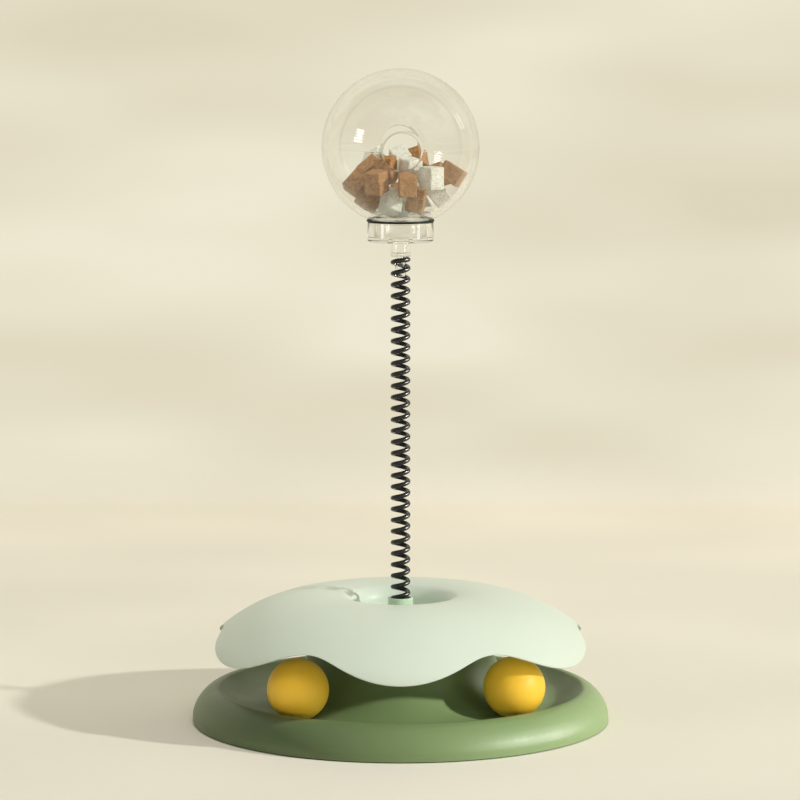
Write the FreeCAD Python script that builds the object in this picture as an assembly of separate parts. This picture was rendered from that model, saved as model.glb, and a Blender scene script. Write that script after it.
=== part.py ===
import FreeCAD, Part

import math
import os

# Cat track ball toy. Two balls run round a ring track in a base tray, under a cover with a wavy edge.
# A coil spring stands in the middle of the cover and carries a clear globe with treats in it.
# Millimetres. +Z is up, the origin is on the floor under the centre, and -Y is the front.

UP = FreeCAD.Vector(0, 0, 1)
ORIGIN = FreeCAD.Vector(0, 0, 0)

# Fits, as a gap on each side
SEAM_FIT = 0.02
SCREW_FIT = 0.02
RUNNING_FIT = 0.08
LOOSE_FIT = 0.15
MOVING_GAP = 0.3

# Base tray
RIM_RADIUS = 125.0
RIM_LIFT = 0.6
RIM_WAIST = 3.3
RIM_FULLNESS = 0.46
RIM_WIDTH = 14.8
LIP_RADIUS = 3.5
LIP_REACH = 21.7
BED_HEIGHT = 12.5
TRACK_DEPTH = 7.7
TRACK_SLOPE = 64.0
HUB_HEIGHT = 50.0
HUB_EDGE_RADIUS = 14.0
TRAY_WALL = 2.5
RIB_COUNT = 12
RIB_WIDTH = 1.6
RIB_LIFT = 3.0

# Rubber feet, pushed into tubes under the tray
FOOT_COUNT = 6
FOOT_INSET = 6.2
FOOT_RADIUS = 10.0
FOOT_EDGE = 0.6
FOOT_PLATE = 2.0
FOOT_STEM_RADIUS = 6.0
FOOT_STEM_LENGTH = 6.0
FOOT_TUBE_WALL = 2.0

# Cover
COVER_INSET = 7.5
COVER_WALL = 2.4
CROWN_RADIUS = 48.0
CROWN_RISE = 27.0
SHOULDER_CURVE = 20.0
SHOULDER_DROP = 39.0
DIMPLE_CURVE = 72.0
DIMPLE_TURN = 10.0
DIMPLE_LIP = 9.0
DIMPLE_DRAFT = 4.0
DIMPLE_FILLET = 5.0
LOBE_COUNT = 6
EDGE_HEIGHT = 49.2
EDGE_SWING = 6.7
EDGE_FLATTEN = 0.4
EDGE_ROUND = 0.9
EDGE_MARGIN = 10.0
WAVE_STEPS = 8

# Cover posts and the screws that come up through the hub into them
POST_COUNT = 3
POST_INSET = 5.0
POST_RADIUS = 4.0
POST_FIRST = 90.0
SCREW_RADIUS = 1.5
SCREW_LENGTH = 12.0
SCREW_HEAD_RADIUS = 3.0
SCREW_HEAD_HEIGHT = 2.2
SCREW_RECESS_RADIUS = 1.0
SCREW_RECESS_DEPTH = 1.3
SCREW_HEAD_ROUND = 0.9

# Spring socket, clamped between the hub and the floor of the dimple
SOCKET_WALL = 1.4
SOCKET_DEPTH = 16.2
SOCKET_RISE = 8.0
FLANGE_RADIUS = 21.0
FLANGE_THICKNESS = 3.6
PEG_COUNT = 3
PEG_CIRCLE = 14.0
PEG_RADIUS = 2.0
PEG_LENGTH = 3.0
SOCKET_CORE_RADIUS = 4.5
SOCKET_LEAD_IN = 0.3

# Balls
BALL_RADIUS = 18.25
BALL_WALL = 1.6
BALL_GAP = 0.2
LEFT_BALL_ANGLE = -42.7
RIGHT_BALL_ANGLE = 49.0

# Spring
WIRE_RADIUS = 1.4
COIL_RADIUS = 6.0
PITCH = 6.74
SPRING_LENGTH = 220.2
SPRING_END_ANGLE = 40.0
CLOSE_TURNS = 0.45
CLOSE_DROP = 1.9
TAIL_TURNS = 1.0
TAIL_LENGTH = 2.8

# Clear holder: a stem inside the top coils, a short tube that stands on them, and a collar that takes
# the neck of the globe
STEM_LENGTH = 12.0
STEM_BORE = 1.9
TUBE_RADIUS = 5.2
TUBE_WALL = 1.0
TUBE_LENGTH = 9.0
TUBE_FLOOR = 2.0
COLLAR_RADIUS = 19.6
COLLAR_WALL = 3.7
COLLAR_FLOOR = 2.5
COLLAR_HEIGHT = 11.5
COLLAR_ROUND = 0.4
COLLAR_LEAD_IN = 1.0

# Seat ring between collar and globe
RING_THICKNESS = 1.3
RING_INSET = 0.1

# Globe, in two halves that meet at the equator
GLOBE_RADIUS = 46.8
GLOBE_WALL = 3.6
HOLE_RADIUS = 11.0
HOLE_TURN = 1.1
SEAM_STEP = 2.0
NECK_WALL = 2.2
NECK_LIFT = 0.8
LUG_HEIGHT = 2.0
LUG_DEPTH = 1.3
LUG_SIDES = (0.0, 180.0)
LUG_SPAN = 22.0
LUG_MARGIN = 2.0
LUG_LIFT = 1.0
LUG_TRAVEL = 60.0

# Freeze-dried treats: square blocks, and how each lies in the pile in the globe
TREAT_SIDE = 10.6
TREAT_LENGTH = 13.0
TREAT_CHAMFER = 0.6
# where it lies, as an angle up from the bottom of the globe, an angle round from the front and a depth in
# from the wall, then its turn about its length and the tilt of its length, all in degrees and millimetres
BROWN_TREATS = [
    (56, -60, 0, 50, 46),
    (59, -27, 0, -5, -12),
    (55, 8, 0, -5, -2),
    (66, 67, 0, 12, 60),
    (29, 34, 0, -45, -14),
    (33, -72, 0, 30, 33),
    (60, -27, 13.5, 5, -8),
    (70, 152, 14, 20, 70),
    (54, -84, 14.3, 30, 50),
    (60, 130, 0, 20, 60),
    (60, -165, 0, 12, 60),
    (34, 178, 0, 30, 34),
]
WHITE_TREATS = [
    (63, 35, 0, 7, -2),
    (33, -16, 0, 44, 33),
    (6, -150, 0, 10, 6),
    (40, 78, 0, 10, 40),
    (55, 20, 13.8, 18, -8),
    (38, -175, 26.5, 24, 44),
    (68, -132, 13.4, 45, 66),
    (62, 165, 0, 5, 62),
    (61, -138, 0, 8, 61),
    (34, 132, 0, 14, 34),
    (34, -132, 0, 40, 34),
]


def at(radius, angle, height=0.0):
    """The point at this radius and height, at an angle round from the front."""
    turn = math.radians(angle)
    return FreeCAD.Vector(radius * math.sin(turn), -radius * math.cos(turn), height)


def section(radius, height):
    """A point of an outline that is turned about the vertical axis."""
    return FreeCAD.Vector(radius, 0, height)


def line(start, end):
    return Part.LineSegment(start, end).toShape()


def arc(centre, radius, first, last):
    """An arc of an outline, between two angles counted from +X towards +Z."""
    def on(angle):
        turn = math.radians(angle)
        return centre + FreeCAD.Vector(radius * math.cos(turn), 0, radius * math.sin(turn))
    return Part.Arc(on(first), on((first + last) / 2.0), on(last)).toShape()


def start_of(edges):
    return edges[0].valueAt(edges[0].FirstParameter)


def end_of(edges):
    return edges[-1].valueAt(edges[-1].LastParameter)


def turned(edges, degrees=360.0):
    """The solid made by turning a closed outline about the vertical axis."""
    face = Part.Face(Part.Wire(Part.__sortEdges__(edges)))
    return face.revolve(ORIGIN, UP, degrees)


def turned_polygon(points, degrees=360.0):
    corners = [section(*p) for p in points]
    corners.append(corners[0])
    return turned([line(a, b) for a, b in zip(corners, corners[1:])], degrees)


def between(outer, inner):
    """The solid wall between two outlines that run the same way."""
    ends = [line(start_of(outer), start_of(inner)), line(end_of(outer), end_of(inner))]
    return turned(outer + inner + ends)


def closed(outline, corners):
    """The outline with straight lines from its end back to its start, by way of the corners."""
    stops = [end_of(outline)] + corners + [start_of(outline)]
    pairs = [pair for pair in zip(stops, stops[1:]) if not pair[0].isEqual(pair[1], 1e-6)]
    return outline + [line(a, b) for a, b in pairs]


def filled(outline, foot):
    """The solid under an outline, down to a height."""
    corners = [section(0, end_of(outline).z), section(0, foot), section(start_of(outline).x, foot)]
    return turned(closed(outline, corners))


def cylinder(radius, foot, top, centre=ORIGIN):
    base = FreeCAD.Vector(centre.x, centre.y, foot)
    return Part.makeCylinder(radius, top - foot, base, UP)


def ring_of(count, radius, first=0.0):
    return [at(radius, first + 360.0 * i / count) for i in range(count)]


def rolled(shape, angle):
    """The shape turned about the vertical axis of the toy."""
    copy = shape.copy()
    copy.rotate(ORIGIN, UP, angle)
    return copy


# Radii that follow from the driving sizes, from the rim inwards
CREST_RADIUS = RIM_RADIUS - RIM_WIDTH
TRACK_RADIUS = CREST_RADIUS - LIP_REACH
FOOT_CIRCLE = CREST_RADIUS - FOOT_INSET
COVER_RADIUS = RIM_RADIUS - COVER_INSET
SOCKET_BORE = COIL_RADIUS + LOOSE_FIT
SOCKET_RADIUS = SOCKET_BORE + SOCKET_WALL
TUBE_BORE = TUBE_RADIUS - TUBE_WALL
FREE_COIL = COIL_RADIUS - WIRE_RADIUS
STEM_RADIUS = FREE_COIL - WIRE_RADIUS - RUNNING_FIT
COLLAR_BORE = COLLAR_RADIUS - COLLAR_WALL
NECK_RADIUS = COLLAR_BORE - MOVING_GAP
RING_RADIUS = COLLAR_RADIUS - RING_INSET
GLOBE_BORE = GLOBE_RADIUS - GLOBE_WALL

# Heights that follow from the driving sizes, from the floor up
CREST_HEIGHT = BED_HEIGHT + TRACK_DEPTH
BALL_HEIGHT = BED_HEIGHT + BALL_RADIUS + BALL_GAP
COVER_SEAT = HUB_HEIGHT + FLANGE_THICKNESS
CROWN_HEIGHT = HUB_HEIGHT + CROWN_RISE
SOCKET_FLOOR = HUB_HEIGHT + SOCKET_RISE
SOCKET_TOP = SOCKET_FLOOR + SOCKET_DEPTH
SPRING_TOP = SOCKET_FLOOR + SPRING_LENGTH
TUBE_FOOT = SPRING_TOP + WIRE_RADIUS + RUNNING_FIT
COLLAR_BOTTOM = TUBE_FOOT + TUBE_LENGTH
COLLAR_TOP = COLLAR_BOTTOM + COLLAR_HEIGHT
RING_HEIGHT = COLLAR_TOP + RING_THICKNESS / 2.0 + SEAM_FIT
# the globe comes down until it touches the seat ring
RING_REACH = GLOBE_RADIUS + RING_THICKNESS / 2.0 + SEAM_FIT
GLOBE_HEIGHT = RING_HEIGHT + math.sqrt(RING_REACH ** 2 - RING_RADIUS ** 2)


def hub_flat_radius():
    return end_of(tray_outline(0.0)[:-1]).x


def post_places():
    return ring_of(POST_COUNT, hub_flat_radius() - POST_INSET, POST_FIRST)


def tray_outline(inset):
    """The top side of the tray from the rim to the centre, or its underside one wall in."""
    slope = math.radians(TRACK_SLOPE)
    across, drop = CREST_RADIUS - TRACK_RADIUS, CREST_HEIGHT - BED_HEIGHT
    # the lip and the track touch on the line between their centres
    reach = (across ** 2 + drop ** 2) / (2.0 * drop)
    track_curve = reach - LIP_RADIUS
    lip_turn = math.degrees(math.asin(across / reach))
    lip_centre = section(CREST_RADIUS, CREST_HEIGHT - LIP_RADIUS)
    track_centre = section(TRACK_RADIUS, BED_HEIGHT + track_curve)

    rim_low = section(RIM_RADIUS - inset, RIM_LIFT)
    rim_waist = section(RIM_RADIUS - inset, RIM_WAIST)
    crest = section(CREST_RADIUS, CREST_HEIGHT - inset)
    rise = (crest.z - rim_waist.z) * RIM_FULLNESS
    run = (rim_waist.x - crest.x) * RIM_FULLNESS
    dome = Part.BezierCurve()
    dome.setPoles([rim_waist, rim_waist + section(0, rise), crest + section(run, 0), crest])

    track = arc(track_centre, track_curve + inset, lip_turn - 90.0, -90.0 - TRACK_SLOPE)
    wall_foot = end_of([track])
    edge = HUB_EDGE_RADIUS - inset
    wall_top_height = HUB_HEIGHT - HUB_EDGE_RADIUS + edge * math.cos(slope)
    wall_top = section(wall_foot.x - (wall_top_height - wall_foot.z) / math.tan(slope), wall_top_height)
    hub_centre = section(wall_top.x - edge * math.sin(slope), HUB_HEIGHT - HUB_EDGE_RADIUS)
    return [
        line(rim_low, rim_waist),
        dome.toShape(),
        arc(lip_centre, LIP_RADIUS - inset, 90.0, 90.0 + lip_turn),
        track,
        line(wall_foot, wall_top),
        arc(hub_centre, edge, 90.0 - TRACK_SLOPE, 90.0),
        line(section(hub_centre.x, HUB_HEIGHT - inset), section(0, HUB_HEIGHT - inset)),
    ]


def base_tray():
    outline = tray_outline(0.0)
    shell = between(outline, tray_outline(TRAY_WALL))
    inside = filled(outline, RIM_LIFT)

    # radial ribs and one ring rib under the track, foot tubes under the crest
    rib_inner = hub_flat_radius()
    rib = Part.makeBox(RIB_WIDTH, RIM_RADIUS - rib_inner, HUB_HEIGHT)
    rib.translate(FreeCAD.Vector(-RIB_WIDTH / 2.0, -RIM_RADIUS, RIB_LIFT))
    ribs = [rolled(rib, 360.0 * (i + 0.5) / RIB_COUNT) for i in range(RIB_COUNT)]
    ring = cylinder(TRACK_RADIUS + RIB_WIDTH / 2.0, RIB_LIFT, HUB_HEIGHT)
    ring = ring.cut(cylinder(TRACK_RADIUS - RIB_WIDTH / 2.0, RIB_LIFT, HUB_HEIGHT))
    foot_places = ring_of(FOOT_COUNT, FOOT_CIRCLE)
    tube_radius = FOOT_STEM_RADIUS + FOOT_TUBE_WALL
    tubes = [cylinder(tube_radius, FOOT_PLATE, HUB_HEIGHT, p) for p in foot_places]
    inner_features = ribs[0].multiFuse(ribs[1:] + [ring] + tubes)
    clear_hub = filled(tray_outline(TRAY_WALL)[4:], 0.0)
    inner_features = inner_features.cut(clear_hub)
    tray = shell.fuse(inner_features.common(inside))

    # bores of the foot tubes, up to the shell
    roof = filled(tray_outline(TRAY_WALL), 0.0)
    bores = [cylinder(FOOT_STEM_RADIUS, 0.0, HUB_HEIGHT, p) for p in foot_places]
    bores = bores[0].multiFuse(bores[1:]).common(roof)

    # holes in the hub for the screws and the pegs of the socket
    holes = [cylinder(SCREW_RADIUS + LOOSE_FIT, 0.0, HUB_HEIGHT + 1.0, p) for p in post_places()]
    holes += [cylinder(PEG_RADIUS + RUNNING_FIT, HUB_HEIGHT - TRAY_WALL - 1.0, HUB_HEIGHT + 1.0, p)
              for p in ring_of(PEG_COUNT, PEG_CIRCLE, POST_FIRST)]
    return tray.cut(bores.multiFuse(holes)).removeSplitter()


def foot_pads():
    stem = FOOT_STEM_RADIUS - RUNNING_FIT
    pads = []
    for place in ring_of(FOOT_COUNT, FOOT_CIRCLE):
        pad = cylinder(FOOT_RADIUS, 0.0, FOOT_PLATE)
        bottom_edge = [e for e in pad.Edges if e.BoundBox.ZMax < FOOT_EDGE / 2.0]
        pad = pad.makeChamfer(FOOT_EDGE, bottom_edge)
        pad = pad.fuse(cylinder(stem, FOOT_PLATE, FOOT_PLATE + FOOT_STEM_LENGTH))
        pad = pad.cut(cylinder(stem / 2.0, FOOT_PLATE, FOOT_PLATE + FOOT_STEM_LENGTH + 1.0))
        pad.translate(place)
        pads.append(pad.removeSplitter())
    return pads


def cover_outline(inset):
    """The outside of the cover from its widest radius to the dimple floor, or its inside one wall in."""
    shoulder = COVER_RADIUS - SHOULDER_CURVE
    across = shoulder - CROWN_RADIUS
    # the arc of the crown runs level at the crown's radius and meets the shoulder without a corner
    both = across ** 2 + SHOULDER_DROP ** 2 - SHOULDER_CURVE ** 2
    crown_curve = both / (2.0 * (SHOULDER_DROP - SHOULDER_CURVE))
    crown_centre = section(CROWN_RADIUS, CROWN_HEIGHT - crown_curve)
    shoulder_height = CROWN_HEIGHT - SHOULDER_DROP
    shoulder_turn = math.degrees(math.acos(across / (crown_curve - SHOULDER_CURVE)))
    shoulder_centre = section(shoulder, shoulder_height)

    dimple_centre = section(CROWN_RADIUS, CROWN_HEIGHT - DIMPLE_CURVE)
    turn = math.radians(DIMPLE_TURN)
    lip_centre = dimple_centre + section(-math.sin(turn), math.cos(turn)) * (DIMPLE_CURVE - DIMPLE_LIP)
    draft = math.radians(DIMPLE_DRAFT)
    # the wall of the dimple runs from the lip down to the fillet at its floor
    wall_top = lip_centre + section(-math.cos(draft), math.sin(draft)) * (DIMPLE_LIP - inset)
    fillet_height = COVER_SEAT + COVER_WALL + DIMPLE_FILLET
    fillet = DIMPLE_FILLET + inset
    wall_foot_height = fillet_height + fillet * -math.sin(draft)
    wall_foot = section(wall_top.x - (wall_top.z - wall_foot_height) * math.tan(draft), wall_foot_height)
    fillet_centre = wall_foot + section(-math.cos(draft), math.sin(draft)) * fillet
    floor_height = COVER_SEAT + COVER_WALL - inset
    hole = SOCKET_RADIUS + LOOSE_FIT
    skirt_top = section(COVER_RADIUS - inset, shoulder_height)
    return [
        line(skirt_top - section(0, SHOULDER_CURVE), skirt_top),
        arc(shoulder_centre, SHOULDER_CURVE - inset, 0.0, shoulder_turn),
        arc(crown_centre, crown_curve - inset, shoulder_turn, 90.0),
        arc(dimple_centre, DIMPLE_CURVE - inset, 90.0, 90.0 + DIMPLE_TURN),
        arc(lip_centre, DIMPLE_LIP - inset, 90.0 + DIMPLE_TURN, 180.0 - DIMPLE_DRAFT),
        line(wall_top, wall_foot),
        arc(fillet_centre, fillet, -DIMPLE_DRAFT, -90.0),
        line(section(fillet_centre.x, floor_height), section(hole, floor_height)),
    ]


def edge_height(angle):
    """The height of the cover's wavy edge, at an angle round from the front."""
    wave = math.radians(LOBE_COUNT * angle)
    return EDGE_HEIGHT - EDGE_SWING * math.cos(wave) + EDGE_FLATTEN * math.cos(2.0 * wave)


def wave_curve(radius):
    steps = LOBE_COUNT * WAVE_STEPS
    points = [at(radius, 360.0 * i / steps, edge_height(360.0 * i / steps)) for i in range(steps)]
    curve = Part.BSplineCurve()
    curve.interpolate(points, PeriodicFlag=True)
    return curve.toShape()


def cover_shell():
    outline = cover_outline(0.0)
    shell = between(outline, cover_outline(COVER_WALL))
    inside = filled(outline, COVER_SEAT)
    posts = []
    for i, place in enumerate(post_places()):
        post = cylinder(POST_RADIUS, HUB_HEIGHT, CROWN_HEIGHT, place)
        web = Part.makeBox(RIB_WIDTH, place.Length - FLANGE_RADIUS, CROWN_HEIGHT - COVER_SEAT)
        web.translate(FreeCAD.Vector(-RIB_WIDTH / 2.0, -place.Length, COVER_SEAT))
        web = rolled(web, POST_FIRST + 360.0 * i / POST_COUNT)
        posts.append(post.fuse(web))
    dimple = dimple_hollow()
    posts = posts[0].multiFuse(posts[1:]).cut(dimple)
    cap = filled(outline, HUB_HEIGHT)
    shell = shell.fuse(posts.common(cap))

    # a band that follows the wave, wider than the skirt on both sides
    outside, inside = wave_curve(COVER_RADIUS + EDGE_MARGIN), wave_curve(TRACK_RADIUS)
    shell = shell.cut(Part.makeRuledSurface(outside, inside).extrude(UP * -COVER_RADIUS))
    screw_tip = HUB_HEIGHT - TRAY_WALL + SCREW_LENGTH
    pilots = [cylinder(SCREW_RADIUS + SCREW_FIT, 0.0, screw_tip + MOVING_GAP, p) for p in post_places()]
    shell = shell.cut(pilots[0].multiFuse(pilots[1:])).removeSplitter()
    rim = [e for e in shell.Edges if is_rim(e)]
    return shell.makeFillet(EDGE_ROUND, rim)


def dimple_hollow():
    """The space in the dimple, from its floor to over the crown."""
    outline = cover_outline(0.0)[3:]
    over = start_of(outline).z + 1.0
    corners = [section(0, end_of(outline).z), section(0, over), section(start_of(outline).x, over)]
    return turned(closed(outline, corners))


def is_rim(edge):
    """True for an edge that follows the wave, and not for one across the wall."""
    middle = edge.valueAt((edge.FirstParameter + edge.LastParameter) / 2.0)
    angle = math.degrees(math.atan2(middle.x, -middle.y))
    outside = math.hypot(middle.x, middle.y) > TRACK_RADIUS
    return outside and abs(middle.z - edge_height(angle)) < 0.1 and edge.Length > 2.0 * COVER_WALL


def cover_screws():
    head_top = HUB_HEIGHT - TRAY_WALL
    screws = []
    for place in post_places():
        screw = cylinder(SCREW_RADIUS, head_top, head_top + SCREW_LENGTH)
        head = cylinder(SCREW_HEAD_RADIUS, head_top - SCREW_HEAD_HEIGHT, head_top)
        lower = [e for e in head.Edges if e.BoundBox.ZMax < head_top - SCREW_HEAD_HEIGHT / 2.0]
        head = head.makeFillet(SCREW_HEAD_ROUND, lower)
        recess = cylinder(SCREW_RECESS_RADIUS, head_top - SCREW_HEAD_HEIGHT,
                          head_top - SCREW_HEAD_HEIGHT + SCREW_RECESS_DEPTH)
        screw = screw.fuse(head).cut(recess)
        screw.translate(place)
        screws.append(screw)
    return Part.makeCompound(screws)


def spring_socket():
    post = cylinder(SOCKET_RADIUS, HUB_HEIGHT, SOCKET_TOP)
    flange = cylinder(FLANGE_RADIUS, HUB_HEIGHT, COVER_SEAT)
    pegs = [cylinder(PEG_RADIUS, HUB_HEIGHT - PEG_LENGTH, HUB_HEIGHT, p)
            for p in ring_of(PEG_COUNT, PEG_CIRCLE, POST_FIRST)]
    socket = post.multiFuse([flange] + pegs)
    socket = socket.cut(cylinder(SOCKET_BORE, SOCKET_FLOOR, SOCKET_TOP + 1.0))
    core_top = SOCKET_FLOOR - TRAY_WALL
    socket = socket.cut(cylinder(SOCKET_CORE_RADIUS, HUB_HEIGHT - 1.0, core_top)).removeSplitter()
    mouth = [e for e in socket.Edges if e.BoundBox.ZMin > SOCKET_TOP - 0.01]
    return socket.makeChamfer(SOCKET_LEAD_IN, mouth)


def ball(angle):
    shell = Part.makeSphere(BALL_RADIUS).cut(Part.makeSphere(BALL_RADIUS - BALL_WALL))
    shell.translate(at(TRACK_RADIUS, angle, BALL_HEIGHT))
    return shell


def tip_radius():
    """The radius where the wire turns into its straight tail, so that the tail's end clears the socket."""
    return math.sqrt((SOCKET_BORE - WIRE_RADIUS) ** 2 - TAIL_LENGTH ** 2) - RUNNING_FIT


def ease(share):
    share = min(max(share, 0.0), 1.0)
    return share * share * (3.0 - 2.0 * share)


def half_biarc(start, tangent, end):
    """The arc that leaves start along its tangent and ends at end."""
    chord = end - start
    aim = FreeCAD.Vector(tangent)
    aim.normalize()
    straight = FreeCAD.Vector(chord)
    straight.normalize()
    share = aim.dot(straight)
    bulge = aim - straight * share
    angle = math.acos(min(1.0, share))
    bulge.normalize()
    middle = (start + end) * 0.5 + bulge * (0.5 * chord.Length * math.tan(angle / 2.0))
    radius = chord.Length / (2.0 * math.sin(angle))
    return Part.Arc(start, middle, end).toShape(), radius


def biarc(start, out, end, into):
    """Two arcs that join two points and keep both tangents."""
    span = end - start
    both = out + into
    bend = 2.0 * (1.0 - out.dot(into))
    along = span.dot(both)
    reach = (math.sqrt(along ** 2 + bend * span.dot(span)) - along) / bend
    joint = (start + end + (out - into) * reach) * 0.5
    first, first_radius = half_biarc(start, out, joint)
    last, last_radius = half_biarc(end, into * -1.0, joint)
    return [first, last], min(first_radius, last_radius)


def spring():
    tail_drop = TAIL_LENGTH * PITCH / math.hypot(PITCH, 2.0 * math.pi * tip_radius())
    bottom = SOCKET_FLOOR + WIRE_RADIUS + tail_drop + RUNNING_FIT
    turns = (SPRING_TOP + CLOSE_DROP - bottom) / PITCH
    first_angle = SPRING_END_ANGLE - 360.0 * turns

    def centre(turn):
        # the bottom tip turns in, and the last part of the top turn levels out
        radius = FREE_COIL - (FREE_COIL - tip_radius()) * ease(1.0 - turn / TAIL_TURNS)
        height = bottom + PITCH * turn - CLOSE_DROP * ease((turn - turns) / CLOSE_TURNS + 1.0)
        angle = math.radians(first_angle + 360.0 * turn)
        return FreeCAD.Vector(radius * math.cos(angle), radius * math.sin(angle), height)

    def heading(turn):
        step = 0.001
        tangent = centre(turn + step) - centre(turn - step)
        tangent.normalize()
        return tangent

    count = int(math.ceil(turns * 4))
    stops = [turns * i / count for i in range(count + 1)]
    edges, tightest = [], COIL_RADIUS
    for low, high in zip(stops, stops[1:]):
        pair, radius = biarc(centre(low), heading(low), centre(high), heading(high))
        edges += pair
        tightest = min(tightest, radius)
    start = centre(0.0) - heading(0.0) * TAIL_LENGTH
    edges = [line(start, centre(0.0))] + edges
    profile = Part.Wire(Part.Circle(start, heading(0.0), WIRE_RADIUS).toShape())
    print("spring turns", round(turns, 2), "tightest arc", round(tightest, 2))
    print("spring least gap to itself", round(least_gap(centre, turns), 2))
    return Part.Wire(edges).makePipeShell([profile], True, False)


def least_gap(centre, turns):
    """The least gap between turns of the spring, measured on points of its centre line."""
    steps = 48
    points = [centre(i / float(steps)) for i in range(int(turns * steps))]
    gap = PITCH
    for i, here in enumerate(points):
        for other in points[i + steps // 2:i + 2 * steps]:
            gap = min(gap, here.distanceToPoint(other) - 2.0 * WIRE_RADIUS)
    return gap


def sector(points, first, span):
    """A part turn of an outline, from an angle round from the right side."""
    return rolled(turned_polygon(points, span), first)


def lug_outline(grow):
    low = COLLAR_BOTTOM + COLLAR_FLOOR + NECK_LIFT + LUG_LIFT - grow
    high = low + LUG_HEIGHT + 2.0 * grow
    inner, outer = NECK_RADIUS - NECK_WALL / 2.0, NECK_RADIUS + LUG_DEPTH + grow
    return [(inner, low), (outer, low), (outer, high), (inner, high)]


def is_ring(edge, radius):
    """True for a level circle of this radius about the vertical axis."""
    return abs(edge.BoundBox.XMax - radius) < 0.01 and edge.BoundBox.ZLength < 0.01


def clear_holder():
    """The stem, the tube and the collar, in one moulding that is open from end to end."""
    stem_foot, bore_foot = TUBE_FOOT - STEM_LENGTH, TUBE_FOOT + TUBE_FLOOR
    floor_top = COLLAR_BOTTOM + COLLAR_FLOOR
    body = turned_polygon([
        (STEM_BORE, stem_foot), (STEM_RADIUS, stem_foot), (STEM_RADIUS, TUBE_FOOT),
        (TUBE_RADIUS, TUBE_FOOT), (TUBE_RADIUS, COLLAR_BOTTOM),
        (COLLAR_RADIUS, COLLAR_BOTTOM), (COLLAR_RADIUS, COLLAR_TOP), (COLLAR_BORE, COLLAR_TOP),
        (COLLAR_BORE, floor_top), (TUBE_BORE, floor_top), (TUBE_BORE, bore_foot), (STEM_BORE, bore_foot),
    ])
    rounds = [e for e in body.Edges if is_ring(e, COLLAR_RADIUS)]
    mouth = [e for e in body.Edges if is_ring(e, COLLAR_BORE) and e.BoundBox.ZMin > floor_top + 1.0]
    body = body.makeFillet(COLLAR_ROUND, rounds).makeChamfer(COLLAR_LEAD_IN, mouth)

    # bayonet: a way in from the top at the end of the turn, and a groove round from the rest place
    groove = lug_outline(MOVING_GAP)
    entry = [groove[0], groove[1], (groove[1][0], COLLAR_TOP + 1.0), (groove[0][0], COLLAR_TOP + 1.0)]
    start, width = -LUG_SPAN / 2.0 - LUG_MARGIN, LUG_SPAN + 2.0 * LUG_MARGIN
    cuts = []
    for side in LUG_SIDES:
        cuts.append(sector(groove, side + start, LUG_TRAVEL + width))
        cuts.append(sector(entry, side + start + LUG_TRAVEL, width))
    return body.cut(cuts[0].multiFuse(cuts[1:])).removeSplitter()


def seat_ring():
    """A round seal that lies on the collar's top and touches the globe."""
    return Part.makeTorus(RING_RADIUS, RING_THICKNESS / 2.0, FreeCAD.Vector(0, 0, RING_HEIGHT), UP)


def globe_cuts():
    """The two round holes that let treats in and out, front and back."""
    start = FreeCAD.Vector(0, -2.0 * GLOBE_RADIUS, GLOBE_HEIGHT)
    through = Part.makeCylinder(HOLE_RADIUS, 4.0 * GLOBE_RADIUS, start, FreeCAD.Vector(0, 1, 0))
    return rolled(through, HOLE_TURN)


def globe_ball():
    centre = FreeCAD.Vector(0, 0, GLOBE_HEIGHT)
    outer, inner = Part.makeSphere(GLOBE_RADIUS), Part.makeSphere(GLOBE_BORE)
    outer.translate(centre)
    inner.translate(centre)
    return outer.cut(inner).cut(globe_cuts())


def seam(grow):
    """The space of the lower half: all below the equator, and a step inside the wall above it."""
    middle = GLOBE_RADIUS - GLOBE_WALL / 2.0
    lower = cylinder(2.0 * GLOBE_RADIUS, 0.0, GLOBE_HEIGHT)
    step = cylinder(middle + grow, GLOBE_HEIGHT, GLOBE_HEIGHT + SEAM_STEP + grow)
    return lower.fuse(step)


def globe_lower():
    half = globe_ball().common(seam(0.0))
    neck_foot = COLLAR_BOTTOM + COLLAR_FLOOR + NECK_LIFT
    neck = cylinder(NECK_RADIUS, neck_foot, GLOBE_HEIGHT)
    neck = neck.cut(cylinder(NECK_RADIUS - NECK_WALL, neck_foot - 1.0, GLOBE_HEIGHT))
    solid_ball = Part.makeSphere(GLOBE_RADIUS - GLOBE_WALL / 2.0)
    solid_ball.translate(FreeCAD.Vector(0, 0, GLOBE_HEIGHT))
    neck = neck.cut(solid_ball)
    lugs = [sector(lug_outline(0.0), side - LUG_SPAN / 2.0, LUG_SPAN) for side in LUG_SIDES]
    return half.multiFuse([neck] + lugs).removeSplitter()


def globe_upper():
    return globe_ball().cut(seam(SEAM_FIT)).removeSplitter()


def treat(polar, round_angle, depth, turn, tilt):
    """A block that is pushed towards the wall until a corner of it is this deep inside the wall's fit."""
    half, half_length = TREAT_SIDE / 2.0, TREAT_LENGTH / 2.0
    corner = FreeCAD.Vector(-half, -half, -half_length)
    block = Part.makeBox(TREAT_SIDE, TREAT_SIDE, TREAT_LENGTH, corner)
    block = block.makeChamfer(TREAT_CHAMFER, block.Edges)
    block.rotate(ORIGIN, UP, turn)
    block.rotate(ORIGIN, FreeCAD.Vector(1, 0, 0), -tilt)
    block.rotate(ORIGIN, UP, round_angle)
    outward = at(math.sin(math.radians(polar)), round_angle, -math.cos(math.radians(polar)))
    reach = GLOBE_BORE - MOVING_GAP
    ways = []
    for vertex in block.Vertexes:
        along = vertex.Point.dot(outward)
        ways.append(math.sqrt(along ** 2 - vertex.Point.dot(vertex.Point) + reach ** 2) - along)
    block.translate(outward * (min(ways) - depth))
    block.translate(FreeCAD.Vector(0, 0, GLOBE_HEIGHT))
    return block


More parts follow.
